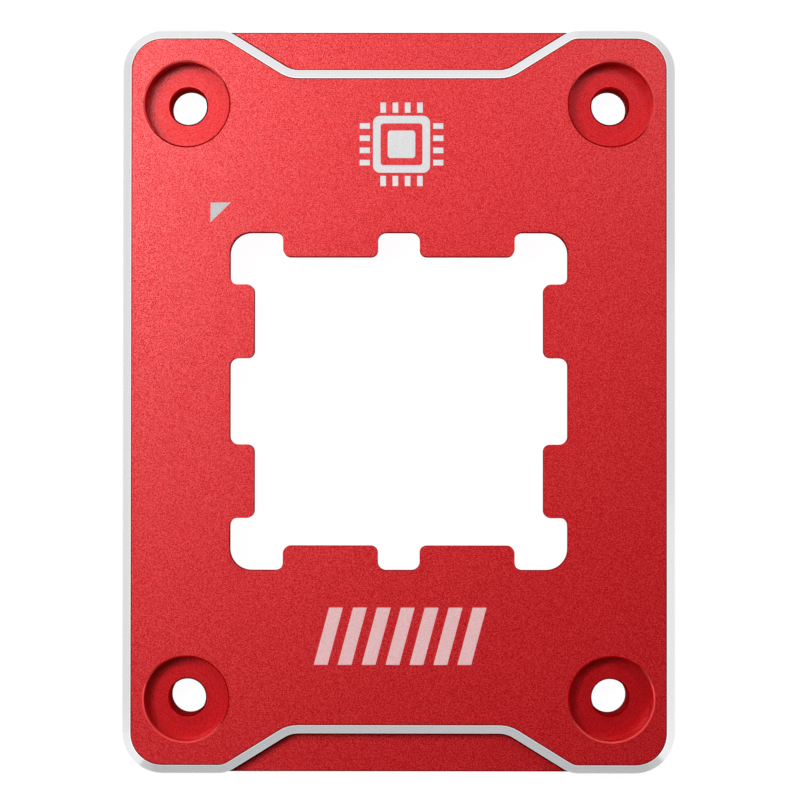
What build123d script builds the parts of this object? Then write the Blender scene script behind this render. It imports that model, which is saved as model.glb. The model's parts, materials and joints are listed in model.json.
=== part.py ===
"""CPU socket retention frame, milled from one plate of aluminium.

The frame is screwed down over a processor in its socket. Eight tabs around the window
press on the step of the processor's lid, the pocket underneath clears the socket, and
the four corners stand on the mainboard. X runs across the frame, Y along it, and Z up
from the mainboard. The origin is on the mainboard, under the middle of the window.
All sizes are in millimetres.
"""
from build123d import *
import os

# Plate
frame_width = 54.3
frame_length = 73.0
frame_height = 6.0
corner_radius = 4.0

# Raised pad: a chamfer runs round it, and at each end a notch leaves a lower land
edge_chamfer = 0.9
land_drop = 2.4
notch_depth = 3.9
notch_floor_width = 21.2
notch_mouth_width = 33.8
notch_fillet = 2.6

# Window: two tabs on each of its sides
window_size = 33.2
window_corner_radius = 2.1
clamp_opening = 28.4
end_tab_width = 9.3
end_tab_gap = 4.1
side_tab_width = 7.2
side_tab_gap = 8.5
tab_tip_radius = 0.7
tab_root_radius = 0.8
lip_thickness = 2.0

# Pocket under the window, for the body of the socket
pocket_width = 45.0
pocket_length = 48.0
pocket_corner_radius = 3.0

# Four screws in counterbored holes
hole_spacing_x = 41.65
hole_spacing_y = 58.35
screw_hole_diameter = 3.6
counterbore_diameter = 8.3
counterbore_depth = 2.2

# Small chamfers that take the burr off the rims of the holes and off the underside
rim_break = 0.15
edge_break = 0.2

# Two places closer than this are the same place
same_place = 0.001

# A cylinder that stands on its own origin
STANDING = (Align.CENTER, Align.CENTER, Align.MIN)


def plate_outline():
    """Outline of the whole frame, seen from above."""
    return RectangleRounded(frame_width, frame_length, corner_radius)


def notch(end):
    """Trapezoid cut out of the pad at one end, 1 at +Y and -1 at -Y."""
    mouth = end * frame_length / 2
    floor = mouth - end * notch_depth
    corners = [
        (-notch_mouth_width / 2, mouth),
        (-notch_floor_width / 2, floor),
        (notch_floor_width / 2, floor),
        (notch_mouth_width / 2, mouth),
    ]
    return make_face(Polyline(*corners, close=True))


def pad_outline():
    """Outline of the raised pad at the foot of its chamfer."""
    outline = plate_outline() - notch(1) - notch(-1)
    reach = notch_mouth_width / 2 + same_place
    bends = [v for v in outline.vertices() if abs(v.X) < reach]
    return fillet(bends, notch_fillet)


def blank():
    """The plate with its raised pad and the two end lands."""
    plate = extrude(plate_outline(), frame_height - land_drop)
    underside = plate.faces().sort_by(Axis.Z)[0]
    plate = chamfer(underside.edges(), edge_break)
    pad = Pos(0, 0, edge_break) * extrude(pad_outline(), frame_height - edge_break)
    top = pad.faces().sort_by(Axis.Z)[-1]
    pad = chamfer(top.edges(), edge_chamfer)
    return plate + pad


def tabs():
    """The eight tabs, as rectangles that reach from the window's sides to its middle."""
    depth = (window_size - clamp_opening) / 2
    centre = (window_size - depth) / 2
    end_step = end_tab_gap + end_tab_width
    side_step = side_tab_gap + side_tab_width
    end_tabs = GridLocations(end_step, 2 * centre, 2, 2) * Rectangle(end_tab_width, depth)
    side_tabs = GridLocations(2 * centre, side_step, 2, 2) * Rectangle(depth, side_tab_width)
    return end_tabs + side_tabs


def window_outline():
    """Outline of the window, with its corners and the tabs' corners rounded."""
    window = Rectangle(window_size, window_size)
    for tab in tabs():
        window -= tab
    side = window_size / 2 - same_place
    tip = clamp_opening / 2 + same_place
    # A tab's side has a rounding at each end, so neither takes up half of it
    room = 0.45 * (window_size - clamp_opening) / 2
    tips = [v for v in window.vertices() if max(abs(v.X), abs(v.Y)) < tip]
    window = fillet(tips, min(tab_tip_radius, room))
    roots = [
        v for v in window.vertices()
        if max(abs(v.X), abs(v.Y)) > side > min(abs(v.X), abs(v.Y))
    ]
    window = fillet(roots, min(tab_root_radius, room))
    corners = [v for v in window.vertices() if min(abs(v.X), abs(v.Y)) > side]
    return fillet(corners, window_corner_radius)


def pocket():
    """Space for the socket, open below, with a broken edge round its mouth."""
    outline = RectangleRounded(pocket_width, pocket_length, pocket_corner_radius)
    space = extrude(outline, frame_height - lip_thickness)
    mouth = extrude(offset(outline, edge_break), edge_break, taper=45)
    return space + mouth


def screw_hole():
    """Space of one counterbored hole."""
    hole = Cylinder(screw_hole_diameter / 2, frame_height, align=STANDING)
    floor = frame_height - counterbore_depth
    seat = Cylinder(counterbore_diameter / 2, counterbore_depth, align=STANDING)
    return hole + Pos(0, 0, floor) * seat


def hole_rims(frame):
    """The round edges where the holes meet the top, the seats and the underside."""
    rings = [e for e in frame.edges().filter_by(GeomType.CIRCLE) if e.is_closed]
    widest_bore = screw_hole_diameter / 2 + same_place
    below_top = frame_height - same_place
    return [e for e in rings if e.radius < widest_bore or e.center().Z > below_top]


def retention_frame():
    """The finished frame: one solid."""
    frame = blank() - pocket() - extrude(window_outline(), frame_height)
    for place in GridLocations(hole_spacing_x, hole_spacing_y, 2, 2):
        frame -= place * screw_hole()
    return chamfer(hole_rims(frame), rim_break)


os.makedirs("parts", exist_ok=True)
export_step(retention_frame(), "parts/retention_frame.step")
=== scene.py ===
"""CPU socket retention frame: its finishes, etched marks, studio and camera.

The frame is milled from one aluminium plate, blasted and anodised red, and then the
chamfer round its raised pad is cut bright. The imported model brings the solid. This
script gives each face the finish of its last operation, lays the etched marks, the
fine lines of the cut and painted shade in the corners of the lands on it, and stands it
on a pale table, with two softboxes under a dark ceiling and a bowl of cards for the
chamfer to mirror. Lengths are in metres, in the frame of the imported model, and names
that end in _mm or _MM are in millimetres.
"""
import bmesh
import bpy
import json
import math
from mathutils import Euler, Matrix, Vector


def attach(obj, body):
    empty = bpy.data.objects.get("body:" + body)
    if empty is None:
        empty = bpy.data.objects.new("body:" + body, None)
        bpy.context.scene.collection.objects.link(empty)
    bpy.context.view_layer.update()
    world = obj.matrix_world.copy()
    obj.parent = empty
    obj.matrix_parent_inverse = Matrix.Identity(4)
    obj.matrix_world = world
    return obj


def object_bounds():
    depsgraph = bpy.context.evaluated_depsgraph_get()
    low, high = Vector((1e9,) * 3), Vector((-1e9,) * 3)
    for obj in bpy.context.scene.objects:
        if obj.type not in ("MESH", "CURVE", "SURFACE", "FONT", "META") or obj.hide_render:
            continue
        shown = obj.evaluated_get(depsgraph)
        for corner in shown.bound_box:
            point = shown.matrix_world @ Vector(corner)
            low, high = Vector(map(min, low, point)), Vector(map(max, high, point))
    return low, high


MM = 0.001

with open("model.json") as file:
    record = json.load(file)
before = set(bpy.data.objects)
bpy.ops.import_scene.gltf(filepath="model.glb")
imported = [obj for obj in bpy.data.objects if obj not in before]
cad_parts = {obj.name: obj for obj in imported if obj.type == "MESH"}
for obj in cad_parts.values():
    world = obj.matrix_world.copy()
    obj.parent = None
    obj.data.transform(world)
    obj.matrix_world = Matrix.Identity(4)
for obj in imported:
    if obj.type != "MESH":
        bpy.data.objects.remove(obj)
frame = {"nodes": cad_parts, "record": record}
cad_low, cad_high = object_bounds()
plate = frame["nodes"]["retention_frame"]

# Levels and radii of the plate, from the frame and the depths of its cuts
TOP = cad_high.z
END = cad_high.y
CHAMFER = 0.9 * MM
RIM_BREAK = 0.15 * MM
SEAT = TOP - 2.2 * MM
LAND = TOP - 2.4 * MM
COUNTERBORE_RADIUS = 4.15 * MM

# Screw holes, from the mount in the record
holes = next(m for m in frame["record"]["mounts"] if m["name"] == "screw_holes")["dims"]
HOLE_X = holes["spacing_x_mm"] * MM / 2
HOLE_Y = holes["spacing_y_mm"] * MM / 2
HOLE_RADIUS = holes["hole_r_mm"] * MM

# Two levels closer than TINY are the same level, and two points closer than SAME_PLACE
# are the same point
TINY = 0.02 * MM
SAME_PLACE = 0.001 * MM


# Colours and nodes

def srgb(text):
    """A hex colour such as c8202a, made linear for a shader socket."""
    channels = [int(text[i:i + 2], 16) / 255 for i in (0, 2, 4)]
    linear = [c / 12.92 if c <= 0.04045 else ((c + 0.055) / 1.055) ** 2.4 for c in channels]
    return (*linear, 1.0)


def add(tree, kind, inputs=None, **settings):
    """One shader node, with its settings, and its sockets set to values or linked."""
    node = tree.nodes.new(kind)
    for name, value in settings.items():
        setattr(node, name, value)
    for name, value in (inputs or {}).items():
        socket = node.inputs[name]
        if isinstance(value, bpy.types.NodeSocket):
            tree.links.new(value, socket)
        else:
            socket.default_value = value
    return node


def blank_material(name):
    """A material with an empty node tree, and that tree."""
    material = bpy.data.materials.new(name)
    material.use_nodes = True
    material.node_tree.nodes.clear()
    return material, material.node_tree


def place_in_mm(tree):
    """The point on the object in millimetres, from its own coordinates."""
    coordinates = add(tree, "ShaderNodeTexCoord")
    scaled = add(tree, "ShaderNodeVectorMath",
                 {0: coordinates.outputs["Object"], "Scale": 1 / MM}, operation="SCALE")
    return scaled.outputs["Vector"]


# Finishes

# Glass beads leave craters of about 0.1 mm in the aluminium, which tilt it a little each
# way. The clear skin over them mirrors more sharply, so the tilt shows more in it. The
# noise that stands for them is turned by odd angles, so that it lines up with no edge.
CRATER_MM = 0.105
CRATER_TURN = (0.6, 0.35, 0.5)
CRATER_TILT = 0.045
SKIN_TILT = 0.14

# Noise keeps mostly between these two values
NOISE_SPAN = {"From Min": 0.3, "From Max": 0.7}

# How far apart the rings lie that a turning tool leaves on the seats of the counterbores.
# Real ones are finer: they are drawn as coarse as they need to be to show.
RING_MM = 0.35


def crater_noise(tree, detail):
    """Noise as fine as the craters of the blast."""
    turned = add(tree, "ShaderNodeVectorRotate",
                 {"Vector": place_in_mm(tree), "Rotation": CRATER_TURN},
                 rotation_type="EULER_XYZ")
    return add(tree, "ShaderNodeTexNoise",
               {"Vector": turned.outputs["Vector"], "Scale": 1 / CRATER_MM, "Detail": detail},
               noise_dimensions="3D")


def tilted(tree, craters, tilt):
    """The way the surface faces, tilted at random by the craters."""
    either_way = add(tree, "ShaderNodeVectorMath",
                     {0: craters.outputs["Color"], 1: (0.5, 0.5, 0.5)}, operation="SUBTRACT")
    flat = add(tree, "ShaderNodeNewGeometry")
    leaning = add(tree, "ShaderNodeVectorMath",
                  {0: either_way.outputs["Vector"], 1: (tilt, tilt, tilt),
                   2: flat.outputs["Normal"]}, operation="MULTIPLY_ADD")
    unit = add(tree, "ShaderNodeVectorMath", {0: leaning.outputs["Vector"]},
               operation="NORMALIZE")
    return unit.outputs["Vector"]


def from_nearest_hole(tree):
    """Distance in millimetres from the axis of the nearest screw hole."""
    place = add(tree, "ShaderNodeSeparateXYZ", {0: place_in_mm(tree)})
    aside = add(tree, "ShaderNodeMath", {0: place.outputs["X"]}, operation="ABSOLUTE")
    along = add(tree, "ShaderNodeMath", {0: place.outputs["Y"]}, operation="ABSOLUTE")
    flat = add(tree, "ShaderNodeCombineXYZ", {"X": aside.outputs[0], "Y": along.outputs[0]})
    away = add(tree, "ShaderNodeVectorMath",
               {0: flat.outputs["Vector"], 1: (HOLE_X / MM, HOLE_Y / MM, 0)},
               operation="DISTANCE")
    return away.outputs["Value"]


def red_anodising(name, lean, rich, blast, metal, coat, thinnest=None, rings=0.0):
    """Aluminium under red-dyed oxide: a metal red below a thin clear skin of oxide.

    The dye is lean on one side of each crater and rich on the other, which gives the red
    its grain. The skin turns pale towards the light, which gives the red its pink veil
    under the lamps. Where a thinnest skin is given, it is that thin where the dye is rich,
    so that the veil has the same grain. The blast is 1 where the craters are as deep as on
    the top face. Rings of the turning tool vary the dye round each hole, as much as rings
    says.
    """
    material, tree = blank_material(name)
    craters = crater_noise(tree, 0.0)
    dye = add(tree, "ShaderNodeMapRange",
              {"Value": craters.outputs["Fac"], **NOISE_SPAN, "To Min": 0.0, "To Max": 1.0})
    depth_of_dye = dye.outputs["Result"]
    if rings:
        turning = add(tree, "ShaderNodeTexNoise",
                      {"W": from_nearest_hole(tree), "Scale": 1 / RING_MM, "Detail": 2.0},
                      noise_dimensions="1D")
        ringed = add(tree, "ShaderNodeMix",
                     {"Factor": rings, "A": depth_of_dye, "B": turning.outputs["Fac"]},
                     data_type="FLOAT")
        depth_of_dye = ringed.outputs["Result"]
    red = add(tree, "ShaderNodeMix",
              {"Factor": depth_of_dye, "A": srgb(lean), "B": srgb(rich)}, data_type="RGBA")
    if thinnest is not None:
        skin = add(tree, "ShaderNodeMapRange",
                   {"Value": craters.outputs["Fac"], **NOISE_SPAN,
                    "To Min": coat["Coat Weight"], "To Max": thinnest})
        coat = {**coat, "Coat Weight": skin.outputs["Result"]}
    surface = add(tree, "ShaderNodeBsdfPrincipled",
                  {"Base Color": red.outputs["Result"],
                   "Normal": tilted(tree, craters, CRATER_TILT * blast),
                   "Coat Normal": tilted(tree, craters, SKIN_TILT * blast),
                   **metal, **coat})
    add(tree, "ShaderNodeOutputMaterial", {"Surface": surface.outputs["BSDF"]})
    return material


# How far apart the tool's lines run on the bright cut, and how its roughness varies from
# line to line. Real lines are finer: they are drawn as coarse as they need to be to show.
TOOL_LINE_MM = 0.12
CUT_ROUGHNESS = {"To Min": 0.2, "To Max": 0.25}

# A white highlight line is painted at the upper and lower edges of the bright cut. It fades
# out between the first two values, in millimetres from the edge, and the lower line is only
# half as white.
PAINTED_HIGHLIGHT_ABOVE = {"From Min": 0.06, "From Max": 0.13, "To Min": 1.0, "To Max": 0.0}
PAINTED_HIGHLIGHT_BELOW = {"From Min": 0.04, "From Max": 0.1, "To Min": 0.5, "To Max": 0.0}


def bright_cut():
    """Aluminium cut bright with a diamond tool after the dyeing: bare and nearly mirror-like.

    The tool leaves faint lines along the cut; a fine white line at both its edges is a painted
    highlight.
    """
    material, tree = blank_material("bright_cut_aluminium")
    height = add(tree, "ShaderNodeSeparateXYZ", {0: place_in_mm(tree)}).outputs["Z"]
    depth = add(tree, "ShaderNodeMath", {0: TOP / MM, 1: height},
                operation="SUBTRACT").outputs[0]
    rise = add(tree, "ShaderNodeMath", {0: CHAMFER / MM, 1: depth},
               operation="SUBTRACT").outputs[0]
    # Painted highlight: white mixed in along the cut's upper and lower edges
    highlight_above = add(tree, "ShaderNodeMapRange", {"Value": depth, **PAINTED_HIGHLIGHT_ABOVE})
    highlight_below = add(tree, "ShaderNodeMapRange", {"Value": rise, **PAINTED_HIGHLIGHT_BELOW})
    edge_highlight = add(tree, "ShaderNodeMath",
               {0: highlight_above.outputs["Result"], 1: highlight_below.outputs["Result"]},
               operation="MAXIMUM")
    colour = add(tree, "ShaderNodeMix",
                 {"Factor": edge_highlight.outputs[0], "A": srgb("e5e5e7"), "B": srgb("ffffff")},
                 data_type="RGBA")
    lines = add(tree, "ShaderNodeTexNoise",
                {"W": height, "Scale": 1 / TOOL_LINE_MM, "Detail": 1.0},
                noise_dimensions="1D")
    rough = add(tree, "ShaderNodeMapRange",
                {"Value": lines.outputs["Fac"], **NOISE_SPAN, **CUT_ROUGHNESS})
    surface = add(tree, "ShaderNodeBsdfPrincipled",
                  {"Base Color": colour.outputs["Result"], "Metallic": 1.0,
                   "Roughness": rough.outputs["Result"]})
    add(tree, "ShaderNodeOutputMaterial", {"Surface": surface.outputs["BSDF"]})
    return material


def etched_aluminium(name, colour, shade):
    """Laser-etched aluminium: the dye burnt away to a pale matt surface, a little uneven."""
    material, tree = blank_material(name)
    pits = crater_noise(tree, 1.0)
    burnt = add(tree, "ShaderNodeMapRange",
                {"Value": pits.outputs["Fac"], **NOISE_SPAN, "To Min": 0.0, "To Max": 1.0})
    pale = add(tree, "ShaderNodeMix",
               {"Factor": burnt.outputs["Result"], "A": srgb(shade), "B": srgb(colour)},
               data_type="RGBA")
    surface = add(tree, "ShaderNodeBsdfPrincipled",
                  {"Base Color": pale.outputs["Result"], "Metallic": 0.0, "Roughness": 0.6})
    add(tree, "ShaderNodeOutputMaterial", {"Surface": surface.outputs["BSDF"]})
    return material


BLASTED, BRIGHT, TURNED, TURNED_WALL, RIM, CUT_THROUGH = range(6)

# The height of a face's unit normal: an upright face's is below the first value, and a
# chamfer's lies between the other two
UPRIGHT = 0.1
SLOPING = (0.5, 0.9)


def finish_of(normal, corners):
    """Which finish a face of the plate has, from how it faces and where its corners are."""
    lowest = min(corner.z for corner in corners)
    highest = max(corner.z for corner in corners)
    upright = abs(normal.z) < UPRIGHT
    sloping = SLOPING[0] < abs(normal.z) < SLOPING[1]
    if sloping and TOP - CHAMFER - TINY < lowest < TOP - RIM_BREAK - TINY:
        return BRIGHT
    if upright and highest > TOP - TINY:
        return CUT_THROUGH
    middle = sum(corners, Vector()) / len(corners)
    from_hole = math.hypot(abs(middle.x) - HOLE_X, abs(middle.y) - HOLE_Y)
    if sloping and from_hole < COUNTERBORE_RADIUS + RIM_BREAK:
        return RIM
    if upright and from_hole < HOLE_RADIUS + RIM_BREAK:
        return CUT_THROUGH
    if from_hole < COUNTERBORE_RADIUS + RIM_BREAK and lowest > SEAT - TINY:
        return TURNED_WALL if upright else TURNED
    return BLASTED


def finish_plate():
    """Gives the plate its finishes, face by face."""
    blasted = red_anodising(
        "blasted_red_anodising", "d21620", "b30108", blast=1.0, thinnest=0.25,
        metal={"Metallic": 1.0, "Roughness": 0.55},
        coat={"Coat Weight": 1.0, "Coat Roughness": 0.31, "Coat IOR": 1.69})
    # The counterbores are turned, so their oxide is smoother and clearer
    turned = red_anodising(
        "turned_red_anodising", "d41c24", "9e0105", blast=0.55, thinnest=0.3, rings=0.35,
        metal={"Metallic": 0.85, "Roughness": 0.5, "Specular IOR Level": 0.0},
        coat={"Coat Weight": 0.8, "Coat Roughness": 0.23, "Coat IOR": 1.62})
    # A cutter's side leaves a wall grooved and without a clear skin. The wall of a
    # counterbore is half metallic, and one that is cut right through is dull.
    turned_wall = red_anodising(
        "turned_wall_red_anodising", "e2080e", "d8060c", blast=0.5,
        metal={"Metallic": 0.5, "Roughness": 0.5}, coat={"Coat Weight": 0.0})
    cut_through = red_anodising(
        "cut_through_red_anodising", "b00810", "9a060c", blast=0.5,
        metal={"Metallic": 0.0, "Roughness": 0.9, "Specular IOR Level": 0.02},
        coat={"Coat Weight": 0.0})
    # The narrow broken rims of the holes are cut smooth, and their thin oxide is paler
    rim = red_anodising(
        "rim_red_anodising", "ec5050", "e04042", blast=0.5,
        metal={"Metallic": 1.0, "Roughness": 0.1}, coat={"Coat Weight": 0.0})
    plate.data.materials.clear()
    for material in (blasted, bright_cut(), turned, turned_wall, rim, cut_through):
        plate.data.materials.append(material)
    points = plate.data.vertices
    for face in plate.data.polygons:
        face.material_index = finish_of(face.normal, [points[i].co for i in face.vertices])


# Films: etched marks and fine lines, a few thousandths of a millimetre proud

FILM_PROUD = 0.008 * MM
FILM_SUNK = 0.004 * MM


def film(name, patches, material):
    """One thin piece made of flat patches, each a list of corners on the plate."""
    shape = bmesh.new()
    sunk = Vector((0, 0, -FILM_SUNK))
    for patch in patches:
        shape.faces.new([shape.verts.new(Vector(corner) + sunk) for corner in patch])
    bmesh.ops.remove_doubles(shape, verts=shape.verts, dist=SAME_PLACE)
    lifted = bmesh.ops.extrude_face_region(shape, geom=shape.faces[:])
    top = [v for v in lifted["geom"] if isinstance(v, bmesh.types.BMVert)]
    bmesh.ops.translate(shape, verts=top, vec=(0, 0, FILM_PROUD + FILM_SUNK))
    bmesh.ops.recalc_face_normals(shape, faces=shape.faces)
    mesh = bpy.data.meshes.new(name)
    shape.to_mesh(mesh)
    shape.free()
    mesh.materials.append(material)
    piece = bpy.data.objects.new(name, mesh)
    bpy.context.scene.collection.objects.link(piece)
    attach(piece, "root")


def on_top(points_mm):
    """Corners on the top face, from places in millimetres."""
    return [(x * MM, y * MM, TOP) for x, y in points_mm]


# Sides of the pin-one triangle, at the window's upper left corner
PIN_ONE_LEFT_MM, PIN_ONE_RIGHT_MM = -18.47, -16.49
PIN_ONE_LOW_MM, PIN_ONE_HIGH_MM = 17.55, 19.48


def pin_one_mark(material):
    """The small triangle that marks pin one."""
    corners_mm = [(PIN_ONE_LEFT_MM, PIN_ONE_HIGH_MM), (PIN_ONE_LEFT_MM, PIN_ONE_LOW_MM),
                  (PIN_ONE_RIGHT_MM, PIN_ONE_HIGH_MM)]
    film("pin_one_mark", [on_top(corners_mm)], material)


# Chip mark above the window: a plain picture of the processor that the frame holds
CHIP_CENTRE_MM = (0.25, 25.2)
CHIP_SIDE_MM = 5.6
CHIP_WALL_MM = 0.75
CHIP_CORE_MM = 2.7
CHIP_OUTER_ROUNDING_MM = 0.7
CHIP_INNER_ROUNDING_MM = 0.3
PINS_ON_A_SIDE = 4
PIN_PITCH_MM = 1.2
PIN_WIDTH_MM = 0.55
PIN_LENGTH_MM = 1.0
PIN_GAP_MM = 0.3


def rounded_square(side, radius, steps=6):
    """Corners of a rounded square about the origin, anticlockwise."""
    points = []
    for turn in range(4):
        for step in range(steps + 1):
            angle = math.radians(90 * (turn + step / steps))
            corner = (turn + 0.5) * math.pi / 2
            reach = math.sqrt(2) * (side / 2 - radius)
            points.append((reach * math.cos(corner) + radius * math.cos(angle),
                           reach * math.sin(corner) + radius * math.sin(angle)))
    return points


def chip_mark(material):
    """A square ring for the processor's body, a core in it, and four pins a side."""
    def placed(points_mm):
        return on_top([(CHIP_CENTRE_MM[0] + x, CHIP_CENTRE_MM[1] + y) for x, y in points_mm])

    outer = rounded_square(CHIP_SIDE_MM, CHIP_OUTER_ROUNDING_MM)
    inner = rounded_square(CHIP_SIDE_MM - 2 * CHIP_WALL_MM, CHIP_INNER_ROUNDING_MM)
    count = len(outer)
    patches = [placed([outer[k], outer[(k + 1) % count], inner[(k + 1) % count], inner[k]])
               for k in range(count)]
    patches.append(placed(rounded_square(CHIP_CORE_MM, CHIP_INNER_ROUNDING_MM)))
    near = CHIP_SIDE_MM / 2 + PIN_GAP_MM
    far = near + PIN_LENGTH_MM
    for k in range(PINS_ON_A_SIDE):
        low = (k - (PINS_ON_A_SIDE - 1) / 2) * PIN_PITCH_MM - PIN_WIDTH_MM / 2
        high = low + PIN_WIDTH_MM
        pin = [(low, near), (high, near), (high, far), (low, far)]
        for turn in range(4):
            patches.append(placed(pin))
            pin = [(-y, x) for x, y in pin]
    film("chip_mark", patches, material)


# Slanted bars below the window, evenly spaced
BARS = 7
BARS_LEFT_MM, BARS_RIGHT_MM = -8.3, 8.6
BARS_LOW_MM, BARS_HIGH_MM = -25.8, -20.2
BAR_WIDTH_MM = 1.35
BAR_SLANT_MM = 1.5


def bar_marks(material):
    """A row of plain slanted bars."""
    pitch = (BARS_RIGHT_MM - BARS_LEFT_MM - BAR_WIDTH_MM - BAR_SLANT_MM) / (BARS - 1)
    patches = []
    for k in range(BARS):
        foot = BARS_LEFT_MM + k * pitch
        head = foot + BAR_SLANT_MM
        patches.append(on_top([(foot, BARS_LOW_MM), (foot + BAR_WIDTH_MM, BARS_LOW_MM),
                               (head + BAR_WIDTH_MM, BARS_HIGH_MM), (head, BARS_HIGH_MM)]))
    film("bar_marks", patches, material)


# The dyed skin ends in a dark line where the bright cut meets the top face, and where the
# lands meet the plate's ends. The corner between a land and the pad's wall gets a wider
# line of the same dark red, painted shade; the overhang hides most of that wider line.
SKIN_LINE = 0.09 * MM
PAINTED_CORNER_SHADE = 0.27 * MM


def is_skin_edge(edge):
    """Whether a level edge ends the dyed skin at the bright cut or at a land's outer edge."""
    ends = [v.co for v in edge.verts]
    if abs(ends[0].z - TOP) < TINY:
        finishes = {finish_of(f.normal, [v.co for v in f.verts]) for f in edge.link_faces}
        return finishes == {BLASTED, BRIGHT}
    return abs(ends[0].z - LAND) < TINY and min(abs(end.y) for end in ends) > END - TINY


def is_land_corner(edge):
    """Whether a level edge lies where a land meets the wall of the pad."""
    ends = [v.co for v in edge.verts]
    climbs = max(v.co.z for f in edge.link_faces for v in f.verts) > LAND + TINY
    inside = min(abs(end.y) for end in ends) < END - TINY
    return climbs and inside and abs(ends[0].z - LAND) < TINY


def strips(edges, width):
    """Flat patches of one width along the level face beside each edge, kept on the plate."""
    inwards = {}
    for edge in edges:
        level = max(edge.link_faces, key=lambda face: face.normal.z)
        start, stop = (v.co for v in edge.verts)
        along = (stop - start).normalized()
        across = Vector((-along.y, along.x, 0))
        if across.dot(level.calc_center_median() - start) < 0:
            across.negate()
        for v in edge.verts:
            inwards.setdefault(v.index, []).append(across)
    patches = []
    for edge in edges:
        near = [v.co.copy() for v in edge.verts]
        far = []
        for v in edge.verts:
            mean = sum(inwards[v.index], Vector()).normalized()
            place = v.co + mean * width / mean.dot(inwards[v.index][0])
            place.y = max(-END, min(END, place.y))
            far.append(place)
        patches.append([near[0], near[1], far[1], far[0]])
    return patches


def skin_lines_and_corner_shade(material):
    """Thin strips where the dyed skin ends, and strips of painted shade in the corners of the
    lands.
    """
    shape = bmesh.new()
    shape.from_mesh(plate.data)
    bmesh.ops.remove_doubles(shape, verts=shape.verts, dist=SAME_PLACE)
    level = [edge for edge in shape.edges
             if len(edge.link_faces) == 2
             and abs(edge.verts[0].co.z - edge.verts[1].co.z) < TINY]
    patches = strips([edge for edge in level if is_skin_edge(edge)], SKIN_LINE)
    # Strips of painted shade along the corners where the lands meet the pad's wall
    patches += strips([edge for edge in level if is_land_corner(edge)], PAINTED_CORNER_SHADE)
    shape.free()
    film("skin_lines_and_corner_shade", patches, material)


# Studio

# The table, and how far under the frame it lies
TABLE_SIDE = 6.0
TABLE_DROP = 0.05 * MM

# The level of the softboxes over the table, and the dark ceiling just above them
LAMP_HEIGHT = 0.55
CEILING_SIDE = 1.35
CEILING_HEIGHT = LAMP_HEIGHT + 0.01

# The sheet of a softbox is this many times as wide as the spread of its light, so that the
# light has faded out at its edges
LAMP_SIDE_IN_SPREADS = 6


def background_rays(tree):
    """1 for the rays that look for the background: from the camera, and off metal and glass."""
    path = add(tree, "ShaderNodeLightPath")
    metal = add(tree, "ShaderNodeMath",
                {0: path.outputs["Is Camera Ray"], 1: path.outputs["Is Glossy Ray"]},
                operation="MAXIMUM")
    glass = add(tree, "ShaderNodeMath",
                {0: metal.outputs["Value"], 1: path.outputs["Is Transmission Ray"]},
                operation="MAXIMUM")
    return glass.outputs["Value"]


def white_world():
    """White behind everything, and a softer grey for the light that it sheds."""
    world = bpy.data.worlds.new("studio")
    world.use_nodes = True
    tree = world.node_tree
    tree.nodes.clear()
    shed = add(tree, "ShaderNodeBackground", {"Color": srgb("ffffff"), "Strength": 0.3})
    seen = add(tree, "ShaderNodeBackground", {"Color": srgb("ffffff"), "Strength": 1.0})
    both = add(tree, "ShaderNodeMixShader",
               {0: background_rays(tree), 1: shed.outputs[0], 2: seen.outputs[0]})
    add(tree, "ShaderNodeOutputWorld", {"Surface": both.outputs[0]})
    bpy.context.scene.world = world


def studio_piece(name, corners, faces, material):
    """A card or table of the studio, which isn't part of the object."""
    mesh = bpy.data.meshes.new(name)
    mesh.from_pydata(corners, [], faces)
    mesh.materials.append(material)
    piece = bpy.data.objects.new(name, mesh)
    bpy.context.scene.collection.objects.link(piece)
    return piece


def flat_sheet(name, side, place, material):
    """A square level sheet."""
    x, y, z = place
    half = side / 2
    corners = [(x - half, y - half, z), (x + half, y - half, z),
               (x + half, y + half, z), (x - half, y + half, z)]
    return studio_piece(name, corners, [(0, 1, 2, 3)], material)


def table():
    """A pale table that shows white and keeps a faint shadow of the frame."""
    material, tree = blank_material("pale_table")
    cloth = add(tree, "ShaderNodeBsdfDiffuse", {"Color": srgb("e8e8e8")})
    faint = add(tree, "ShaderNodeBsdfDiffuse", {"Color": srgb("505050")})
    glow = add(tree, "ShaderNodeEmission", {"Color": srgb("ffffff"), "Strength": 0.97})
    lit = add(tree, "ShaderNodeAddShader", {0: faint.outputs[0], 1: glow.outputs[0]})
    both = add(tree, "ShaderNodeMixShader",
               {0: background_rays(tree), 1: cloth.outputs[0], 2: lit.outputs[0]})
    add(tree, "ShaderNodeOutputMaterial", {"Surface": both.outputs[0]})
    flat_sheet("table", TABLE_SIDE, (0, 0, -TABLE_DROP), material)


def seen_in_metal_only(piece):
    """The piece shows in reflections, and neither to the camera nor as a shadow."""
    piece.visible_camera = False
    piece.visible_diffuse = False
    piece.visible_shadow = False


def dark_ceiling():
    """Black above the table, so that only the lamps brighten the top face."""
    material, tree = blank_material("black_ceiling")
    black = add(tree, "ShaderNodeEmission", {"Color": srgb("000000"), "Strength": 1.0})
    add(tree, "ShaderNodeOutputMaterial", {"Surface": black.outputs[0]})
    place = (0, 0, CEILING_HEIGHT)
    seen_in_metal_only(flat_sheet("dark_ceiling", CEILING_SIDE, place, material))


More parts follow.
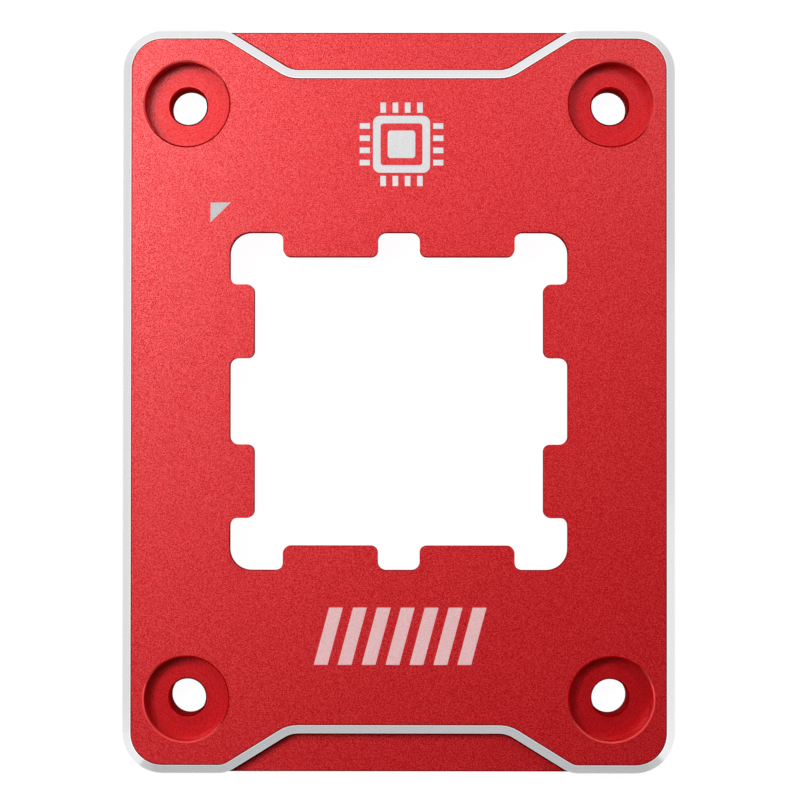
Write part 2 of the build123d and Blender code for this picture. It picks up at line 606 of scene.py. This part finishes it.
def softbox(name, x, y, spread, strength):
    """A lamp under the ceiling, brightest in its middle and fading out over its spread."""
    material, tree = blank_material(name + "_cloth")
    coordinates = add(tree, "ShaderNodeTexCoord")
    from_middle = add(tree, "ShaderNodeVectorMath",
                      {0: coordinates.outputs["Object"], 1: (x, y, LAMP_HEIGHT)},
                      operation="DISTANCE")
    spreads = add(tree, "ShaderNodeMath", {0: from_middle.outputs["Value"], 1: spread},
                  operation="DIVIDE")
    squared = add(tree, "ShaderNodeMath", {0: spreads.outputs["Value"], 1: 2.0},
                  operation="POWER")
    halved = add(tree, "ShaderNodeMath", {0: squared.outputs["Value"], 1: -0.5},
                 operation="MULTIPLY")
    fade = add(tree, "ShaderNodeMath", {0: halved.outputs["Value"]}, operation="EXPONENT")
    level = add(tree, "ShaderNodeMath", {0: fade.outputs["Value"], 1: strength},
                operation="MULTIPLY")
    glow = add(tree, "ShaderNodeEmission",
               {"Color": srgb("ffffff"), "Strength": level.outputs["Value"]})
    clear = add(tree, "ShaderNodeBsdfTransparent")
    both = add(tree, "ShaderNodeAddShader", {0: glow.outputs[0], 1: clear.outputs[0]})
    add(tree, "ShaderNodeOutputMaterial", {"Surface": both.outputs[0]})
    lamp = flat_sheet(name, LAMP_SIDE_IN_SPREADS * spread, (x, y, LAMP_HEIGHT), material)
    lamp.visible_camera = False


# The cards that the bright chamfer mirrors, as directions round the frame in degrees
# anticlockwise from +X, with the grey that each shows
CARDS = [
    ("card_left_turn", 132, 140, 0.96),
    ("card_left", 140, 212, 0.92),
    ("card_front_left", 212, 234.5, 1.1),
    ("card_front_turn_left", 234.5, 240.5, 0.68),
    ("card_front", 240.5, 301.5, 0.58),
    ("card_front_turn_right", 301.5, 309, 0.66),
    ("card_front_right", 309, 329, 1.1),
    ("card_right", 350, 373, 0.93),
    ("card_far_right", 373, 406, 0.82),
    ("card_far_right_turn", 406, 414, 0.88),
    ("card_far", 414, 435, 0.965),
]

# Radii of the bowl's inner and outer edge, how far the outer one is raised, and how many
# flat facets a card has
CARD_NEAR = 0.06
CARD_FAR = 0.5
CARD_RISE = 0.2
CARD_FACETS = 8


def bowl_card(name, start, stop, grey):
    """One sector of a shallow bowl of cards round the frame."""
    material, tree = blank_material(name + "_face")
    shade = add(tree, "ShaderNodeEmission", {"Color": srgb("ffffff"), "Strength": grey})
    add(tree, "ShaderNodeOutputMaterial", {"Surface": shade.outputs[0]})
    turns = [math.radians(start + (stop - start) * k / CARD_FACETS)
             for k in range(CARD_FACETS + 1)]
    near = [(CARD_NEAR * math.cos(t), CARD_NEAR * math.sin(t), 0) for t in turns]
    far = [(CARD_FAR * math.cos(t), CARD_FAR * math.sin(t), CARD_RISE) for t in turns]
    first = len(near)
    faces = [(k, k + 1, first + k + 1, first + k) for k in range(CARD_FACETS)]
    seen_in_metal_only(studio_piece(name, near + far, faces, material))


# Camera: where it stands, how it is turned in radians, and its lens on a 36 mm sensor

CAMERA_PLACE_MM = (1.2069, -3.0528, 270.377)
CAMERA_TURN = (0.0120, 0.0041, 0.0008)
LENS_MM = 121.45


def camera():
    """The photograph's view: nearly straight down from 0.27 m, with a long lens."""
    data = bpy.data.cameras.new("camera")
    data.lens = LENS_MM
    data.clip_start = 0.01
    data.clip_end = 20
    piece = bpy.data.objects.new("camera", data)
    bpy.context.scene.collection.objects.link(piece)
    piece.location = Vector(CAMERA_PLACE_MM) * MM
    piece.rotation_euler = Euler(CAMERA_TURN)
    bpy.context.scene.camera = piece


finish_plate()
pin_one_mark(etched_aluminium("etched_grey", "cdcecf", "b3b4b5"))
chip_mark(etched_aluminium("etched_silver", "e4e4e6", "d2d3d5"))
bar_marks(etched_aluminium("etched_pink", "edc2c3", "dba8aa"))
# The skin's dark end lines and the painted shade in the lands' corners share this dark red
skin_lines_and_corner_shade(red_anodising("skin_edge_and_corner_shade", "7a0a14", "6a0810", blast=0.0,
                         metal={"Metallic": 1.0, "Roughness": 0.55},
                         coat={"Coat Weight": 0.3, "Coat Roughness": 0.2}))
white_world()
table()
dark_ceiling()
softbox("softbox_left", -0.236, 0.14, spread=0.068, strength=26.2)
softbox("softbox_far", 0.143, 0.252, spread=0.052, strength=15.3)
for name, start, stop, grey in CARDS:
    bowl_card(name, start, stop, grey)
camera()
bpy.context.scene.view_settings.view_transform = "Standard"
